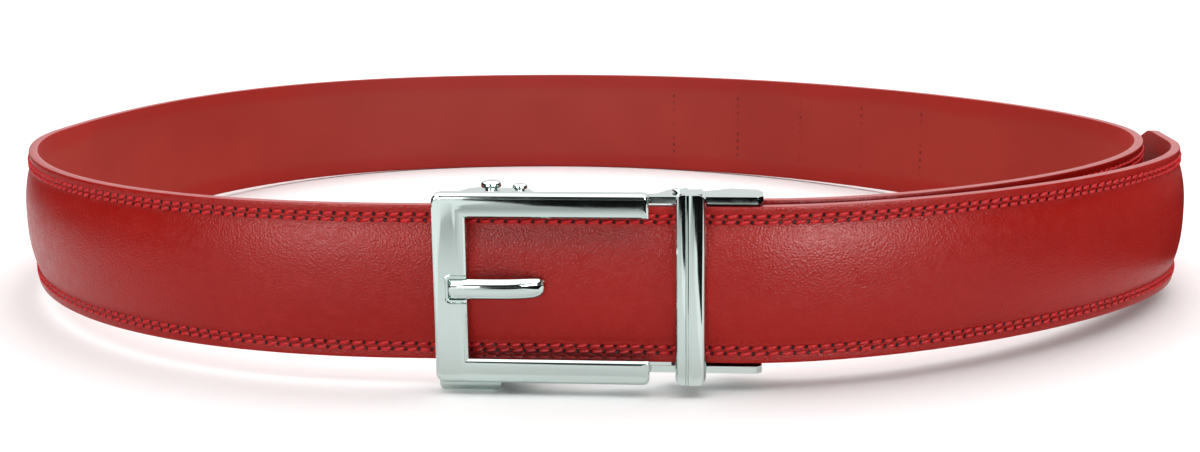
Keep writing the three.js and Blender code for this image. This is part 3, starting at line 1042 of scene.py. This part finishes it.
# The middle of each arm stands a little proud of the rim
def crownArms(piece):
    face = at(0, plate["front"] + plate["crown"], 0).y
    rim = sum(step[0] for step in plate["steps"])
    windowLow, windowHigh = plate["windowLow"], plate["windowHigh"]
    for vertex in piece.data.vertices:
        x, z = (vertex.co.x - originX) / mm, (vertex.co.z - strapLow) / mm
        inArm = z > windowHigh or z < windowLow
        if abs(vertex.co.y - face) > 0.01 * mm or not inArm or x <= plate["windowLeft"] - 2:
            continue
        fromEdge = min(x - plate["left"], plate["right"] - x, z - plate["low"], plate["high"] - z)
        if x > plate["windowLeft"]:
            fromEdge = min(fromEdge, z - windowHigh if z > windowHigh else windowLow - z)
        if fromEdge > rim + 0.1:
            vertex.co.y -= plate["crown"] * mm * min(1, fromEdge / plate["crownRun"])


def seatCutter():
    seat = plate["seat"]
    left, right = plate["left"] + seat["left"], plate["left"] + seat["right"]
    low, high = middle / mm - seat["half"], middle / mm + seat["half"]
    cutter = box("seat", (left, plate["front"] - 1, low), (right, plate["front"] + seat["depth"], high))
    editMode(cutter, "EDGE")
    side, near = at(left, 0, 0).x, 0.01 * mm
    chooseEdges(
        cutter, lambda a, b: abs(a.x - side) < near and abs(b.x - side) < near and abs(a.z - b.z) < near
    )
    bpy.ops.mesh.bevel(offset=seat["corner"] * mm, segments=6, affect="EDGES")
    objectMode()
    return cutter


def frontPlate():
    piece = plateBody()
    crownArms(piece)
    cutter = seatCutter()
    softenEdges(piece, plate["soft"], segments=2, angle=38)
    combine(piece, cutter, "DIFFERENCE")
    ring = seatRing()
    makeActive(piece)
    ring.select_set(True)
    bpy.ops.object.join()
    polish(piece, 24)
    return piece


finish(frontPlate(), "belt", "chrome", chrome, "buckle_frame")


# The rails are the casting's own, cut behind the plate and run on a little way into it
rail = {"cut": -4.3, "front": -5.4, "soft": 0.22}


def rails():
    piece = copyOfNode("buckle_frame", "side_rails")
    editMode(piece)
    selectAll()
    bpy.ops.mesh.bisect(
        plane_co=at(0, rail["cut"], 0), plane_no=(0, 1, 0), clear_inner=True, clear_outer=False, use_fill=True
    )
    objectMode()
    cutEnd, front = at(0, rail["cut"] + 0.05, 0).y, at(0, rail["front"], 0).y
    for vertex in piece.data.vertices:
        if vertex.co.y < cutEnd:
            vertex.co.y = front
    outwards(piece)
    softenEdges(piece, rail["soft"], segments=2, angle=40)
    polish(piece, 32)
    return piece


finish(rails(), "belt", "chrome", chrome, "buckle_frame")


prongShape = {
    "start": -25.0,
    "length": 20.5,
    "half": 2.2,
    "front": -8.6,
    "back": -7.0,
    "soft": 0.16,
    # share of the length, front face, back face, half width share
    "stations": (
        (0.0, -7.95, -7.0, 1.0),
        (0.03, -8.4, -7.0, 1.0),
        (0.16, -8.55, -7.0, 1.0),
        (0.3, -8.62, -7.0, 1.0),
        (0.42, -8.62, -6.95, 1.0),
        (0.52, -8.57, -6.85, 1.0),
        (0.62, -8.45, -6.7, 1.0),
        (0.71, -8.2, -6.35, 1.0),
        (0.79, -7.85, -5.9, 1.0),
        (0.86, -7.4, -5.4, 0.99),
        (0.915, -6.9, -5.0, 0.95),
        (0.955, -6.4, -4.85, 0.88),
        (0.985, -5.95, -4.8, 0.76),
        (1.0, -5.6, -4.9, 0.6),
    ),
    # height from the middle, how far the face falls back there
    "across": (
        (2.2, 1.05), (1.75, 0.62), (1.2, 0.2), (0.9, 0.06), (0, 0), (-0.9, 0.05), (-1.5, 0.2), (-1.9, 0.45),
        (-2.2, 0.85),
    ),
}


def makeProng():
    stations, across = prongShape["stations"], prongShape["across"]
    start, length, half = prongShape["start"], prongShape["length"], prongShape["half"]
    front, back = prongShape["front"], prongShape["back"]
    low, high = middle / mm - half, middle / mm + half
    piece = box("prong_tongue", (start, front, low), (start + length, back, high))
    cutAcross(piece, [at(start + length * station[0], 0, 0) for station in stations[1:-1]], (1, 0, 0))
    cutAcross(piece, [at(0, 0, middle / mm + line[0]) for line in across[1:-1]], (0, 0, 1))
    centre, split = at(0, 0, middle / mm).z, at(0, (front + back) / 2, 0).y
    for vertex in piece.data.vertices:
        share = (vertex.co.x - at(start, 0, 0).x) / (length * mm)
        up = (vertex.co.z - centre) / mm
        face, rear, width = min(stations, key=lambda row: abs(row[0] - share))[1:]
        fall = min(across, key=lambda row: abs(row[0] - up))[1]
        level = face + fall * min(1, 1.4 - share * 0.6) if vertex.co.y < split else rear
        vertex.co.y = at(0, level, 0).y
        vertex.co.z = centre + up * mm * width
    softenEdges(piece, prongShape["soft"], segments=2, angle=50)
    polish(piece, 26)
    return piece


finish(makeProng(), "belt", "chrome", chrome, "prong")


keeper = {
    "left": 24.0,
    "right": 30.6,
    "low": -3.5,
    "high": 38.5,
    "front": -7.9,
    "back": -4.6,
    "reach": 4.0,
    "leg": 1.1,
    "legInset": 0.9,
    "legFront": -6.25,
    "corner": 1.8,
    "soft": 0.28,
    # distance from the left edge, how far the face lies behind the front
    "profile": (
        (0.0, 1.25), (0.22, 0.72), (0.5, 0.45), (0.95, 0.34), (1.6, 0.41), (2.2, 0.50), (2.35, 0.1),
        (2.45, 0.0), (2.75, 0.0), (2.85, 0.1), (2.93, 0.32), (3.05, 0.32), (3.15, 0.10), (3.6, 0.115),
        (4.2, 0.155), (4.8, 0.22), (5.3, 0.31), (5.75, 0.43), (6.0, 0.60), (6.25, 0.86), (6.6, 1.5),
    ),
}


def makeKeeper():
    left, right, low, high = keeper["left"], keeper["right"], keeper["low"], keeper["high"]
    piece = box("keeper_bar", (left, keeper["front"], low), (right, keeper["back"], high))
    cutAcross(piece, [at(left + line[0], 0, 0) for line in keeper["profile"][1:-1]], (1, 0, 0))
    split = at(0, (keeper["front"] + keeper["back"]) / 2, 0).y
    for vertex in piece.data.vertices:
        if vertex.co.y > split:
            continue
        away = (vertex.co.x - at(left, 0, 0).x) / mm
        vertex.co.y += min(keeper["profile"], key=lambda row: abs(row[0] - away))[1] * mm
    outline = box("outline", (left, keeper["front"] - 2, low), (right, keeper["back"] + 2, high))
    editMode(outline, "EDGE")
    chooseEdges(outline, lambda a, b: abs(a.x - b.x) < 0.001 * mm and abs(a.z - b.z) < 0.001 * mm)
    bpy.ops.mesh.bevel(offset=keeper["corner"] * mm, segments=8, affect="EDGES")
    objectMode()
    combine(piece, outline, "INTERSECT")
    legLeft, legRight = left + keeper["legInset"], right - keeper["legInset"]
    legBack = keeper["back"] + keeper["reach"]
    for bottom, top in ((low, low + keeper["leg"]), (high - keeper["leg"], high)):
        leg = box("leg", (legLeft, keeper["legFront"], bottom), (legRight, legBack, top))
        combine(piece, leg, "UNION")
    softenEdges(piece, keeper["soft"], segments=3, angle=50)
    polish(piece, 30)
    return piece


finish(makeKeeper(), "belt", "chrome", chrome, "keeper_loop")


# Rows give radius and height, upwards. A closed profile ends where it starts and leaves a bore
def turnedPiece(name, rows, x, y, closed):
    radius, level = rows[0]
    piece = newObject(
        name, bpy.ops.mesh.primitive_circle_add, vertices=40, radius=radius * mm, fill_type="NOTHING",
        location=at(x, y, level),
    )
    settle(piece)
    editMode(piece, "VERT")
    selectAll()
    if not closed:
        bpy.ops.mesh.edge_face_add()
        selectAll()
    bpy.ops.mesh.select_mode(type="EDGE")
    extrude = bpy.ops.mesh.extrude_edges_move if closed else bpy.ops.mesh.extrude_region_move
    for (oldRadius, oldLevel), (newRadius, newLevel) in zip(rows, rows[1:]):
        extrude(TRANSFORM_OT_translate={"value": (0, 0, (newLevel - oldLevel) * mm)})
        grow = newRadius / oldRadius
        bpy.ops.transform.resize(value=(grow, grow, 1), center_override=at(x, y, newLevel))
    if closed:
        selectAll()
        bpy.ops.mesh.remove_doubles(threshold=0.01 * mm)
    objectMode()
    outwards(piece)
    smooth(piece, 50)
    return piece


pinShape = {
    "seat": 37.2,  # top of the upper rail
    "foot": -2.5,
    # Share of the head's radius, height
    "base": ((0.6, -1), (0.85, -0.85), (0.85, 0)),
    # Share of the head's radius, share of its height
    "head": (
        (0.58, 0), (0.58, 0.2), (0.9, 0.25), (1, 0.33), (1, 0.5), (0.98, 0.66), (0.93, 0.77), (0.84, 0.86),
        (0.64, 0.94), (0.34, 0.985), (0.04, 1),
    ),
}


def makePin(name, x, y, radius, headRadius, headHeight):
    seat, foot = pinShape["seat"], pinShape["foot"]
    rows = [(headRadius * share, foot + up) for share, up in pinShape["base"]]
    rows += [(radius, foot), (radius, seat)]
    rows += [(headRadius * share, seat + headHeight * up) for share, up in pinShape["head"]]
    return turnedPiece(name, rows, x, y, False)


pawlPin = makePin("pawl_pin_turned", x=-17, y=4.3, radius=1.1, headRadius=2.25, headHeight=2.05)
finish(pawlPin, "belt", "chrome", chrome, "pawl_pin")
stopPin = makePin("stop_pin_turned", x=-10.5, y=3.6, radius=0.8, headRadius=1.65, headHeight=1.5)
finish(stopPin, "belt", "chrome", chrome, "stop_pin")


rivetShape = {
    "place": (24.7, 2.8),
    "gap": 0.3,
    # Radius, height from the lower flange's top and from the upper flange's underside
    "foot": ((0.7, -0.45), (0.85, -0.5), (1.5, -0.5), (1.75, -0.3), (1.75, 0), (1.1, 0)),
    "head": ((1.1, 0), (1.75, 0), (1.75, 0.25), (1.6, 0.42), (1.3, 0.5), (1.0, 0.46), (0.78, 0.3), (0.7, 0)),
}


def makeRivet(name, low, high):
    bottom, top = low - rivetShape["gap"], high + rivetShape["gap"]
    rows = [(radius, bottom + up) for radius, up in rivetShape["foot"]]
    rows += [(radius, top + up) for radius, up in rivetShape["head"]]
    return turnedPiece(name, rows + rows[:1], *rivetShape["place"], True)


for name, node, low, high in (
    ("rivet_upper", "clamp_rivet_top", 33.7, 37.2),
    ("rivet_lower", "clamp_rivet_bottom", -2.2, 1.3),
):
    finish(makeRivet(name, low, high), "belt", "chrome", chrome, node)


# The machined inner pieces are the CAD's, with softened edges
for node, name, body, width in (
    ("clamp", "clamp_body", "belt", 0.3),
    ("clamp_jaw", "clamp_plate", "belt", 0.2),
    ("release_lever", "lever_body", "lever", 0.2),
):
    piece = copyOfNode(node, name)
    softenEdges(piece, width, segments=2, angle=35)
    polish(piece, 32)
    finish(piece, body, "chrome", chrome, node)

track = frame["nodes"]["ratchet_track"]
track.data.materials.clear()
track.data.materials.append(trackPlastic)
print("track coloured")

bpy.data.objects.remove(routeLine)

studio = {
    "floor": (0.93, 0.93, 0.93, 1),
    "room": 0.05,
    "backdrop": 0.95,
    "backdropFrom": (0.75, 0.92),  # how far a direction points back where the backdrop starts and is full
    # A grey card on the floor in front of the buckle, whose tones paint the floor's shade into the chrome's
    # reflections: its left and right, then distance in front and tone
    "greyCard": ((-60, 42), ((20, 0.80), (70, 0.80), (120, 0.74), (190, 0.40), (235, 0.55), (330, 0.7))),
    "greyLevel": 0.5,
    # Dark cards round the belt on the floor: corners in plan
    "darkCards": (
        ((-34, -218), (-14, -197), (700, -1300), (-340, -1300)),
        ((-14, -197), (44, -188), (900, -1000), (700, -1300)),
        ((44, -188), (52, -150), (900, -600), (900, -1000)),
        ((52, -150), (56, -100), (900, -400), (900, -600)),
        ((56, -100), (62, -50), (900, -200), (900, -400)),
        ((232, -80), (215, -15), (900, 300), (900, -200)),
        ((215, -15), (168, 15), (500, 900), (900, 300)),
        ((168, 15), (164, 140), (300, 900), (500, 900)),
        ((-210, -130), (-235, -40), (-1500, 300), (-1500, -700)),
        ((-235, -40), (-260, 140), (-700, 1200), (-1500, 300)),
    ),
    "darkLevel": 1,
    "darkTone": (0.004, 0.004, 0.004, 1),
    # Place, target and size in m, power in W
    "overhead": ((0, 0.45, 1.2), (0, 0.45, 0), (3.0, 3.0), 62),
    "frontTarget": (0, -0.14, 0.02),
    "frontLights": (
        ("left_box", (-0.56, -1.08, 0.37), (0.5, 0.55), 13),
        ("right_box", (0.66, -1.02, 0.37), (0.70, 0.55), 22),
        ("rim_strip", (-0.255, -1.2, 0.10), (0.10, 0.20), 0.4),
    ),
}


def makeFloor():
    place = (0, 0, cadLow.z - 0.05 * mm)
    floor = newObject("floor", bpy.ops.mesh.primitive_plane_add, size=12, location=place)
    material, shader = newMaterial("floor", Roughness=0.9, Specular_IOR_Level=0.1)
    shader.inputs["Base Color"].default_value = studio["floor"]
    floor.data.materials.append(material)
    floor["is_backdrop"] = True


def areaLight(name, place, target, size, power):
    lamp = newObject(name, bpy.ops.object.light_add, type="AREA", location=place)
    lamp.data.shape = "RECTANGLE"
    lamp.data.size, lamp.data.size_y = size
    lamp.data.energy = power
    aim = Vector(target) - Vector(place)
    lamp.rotation_euler = aim.to_track_quat("-Z", "Y").to_euler()
    return lamp


# White to the camera. To the object it is dark in front and bright behind, as the photograph's chrome shows
def surroundings():
    world = bpy.data.worlds.new("studio")
    bpy.context.scene.world = world
    world.use_nodes = True
    n = Nodes(world)
    sky = world.node_tree.nodes["Background"]
    way = n.add("ShaderNodeTexCoord").outputs["Generated"]
    way = n.add("ShaderNodeSeparateXYZ", inputs={"Vector": way})
    behind = n.spread(way.outputs["Y"], *studio["backdropFrom"])
    room = n.mix(behind, (studio["room"],) * 3 + (1,), (studio["backdrop"],) * 3 + (1,))
    seen = n.add("ShaderNodeLightPath").outputs["Is Camera Ray"]
    n.feed(sky.inputs["Color"], n.mix(seen, room, (1, 1, 1, 1)))
    sky.inputs["Strength"].default_value = 1


# A card that only reflections see. Its corners run round it, and its level is its height over the floor
def layCard(name, corners, level, material):
    card = newObject(name, bpy.ops.mesh.primitive_plane_add, size=1)
    for vertex, (x, y) in zip(card.data.vertices, (corners[0], corners[1], corners[3], corners[2])):
        vertex.co = (originX + x * mm, originY + y * mm, cadLow.z + level * mm)
    card.data.materials.append(material)
    card.visible_camera = False
    card.visible_diffuse = False
    card.visible_shadow = False
    card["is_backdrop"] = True


def darkCards():
    material, shader = newMaterial("dark card", Roughness=1.0, Specular_IOR_Level=0.0)
    shader.inputs["Base Color"].default_value = studio["darkTone"]
    for number, corners in enumerate(studio["darkCards"], 1):
        layCard(f"dark_card_{number}", corners, studio["darkLevel"], material)


# Painted shade: the card's tones darken the floor that reflections see, by distance in front
def greyCard():
    (left, right), tones = studio["greyCard"]
    material, shader = newMaterial("grey card", Roughness=1.0, Specular_IOR_Level=0.0)
    n = Nodes(material)
    place = n.add("ShaderNodeSeparateXYZ", inputs={"Vector": n.objectPlace()})
    away = n.math("DIVIDE", n.math("SUBTRACT", originY, place.outputs["Y"]), mm)
    tone = tones[0][1]
    for (near, before), (far, after) in zip(tones, tones[1:]):
        tone = n.math("ADD", tone, n.spread(away, near, far, 0, after - before))
    n.feed(shader.inputs["Base Color"], tone)
    near, far = tones[0][0], tones[-1][0]
    corners = ((left, -far), (right, -far), (right, -near), (left, -near))
    layCard("grey_card", corners, studio["greyLevel"], material)


makeFloor()
surroundings()
darkCards()
greyCard()
areaLight("overhead", *studio["overhead"])
for name, place, size, power in studio["frontLights"]:
    frontLight = areaLight(name, place, studio["frontTarget"], size, power)
    frontLight.visible_diffuse = False
print("lights set")

low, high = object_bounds()
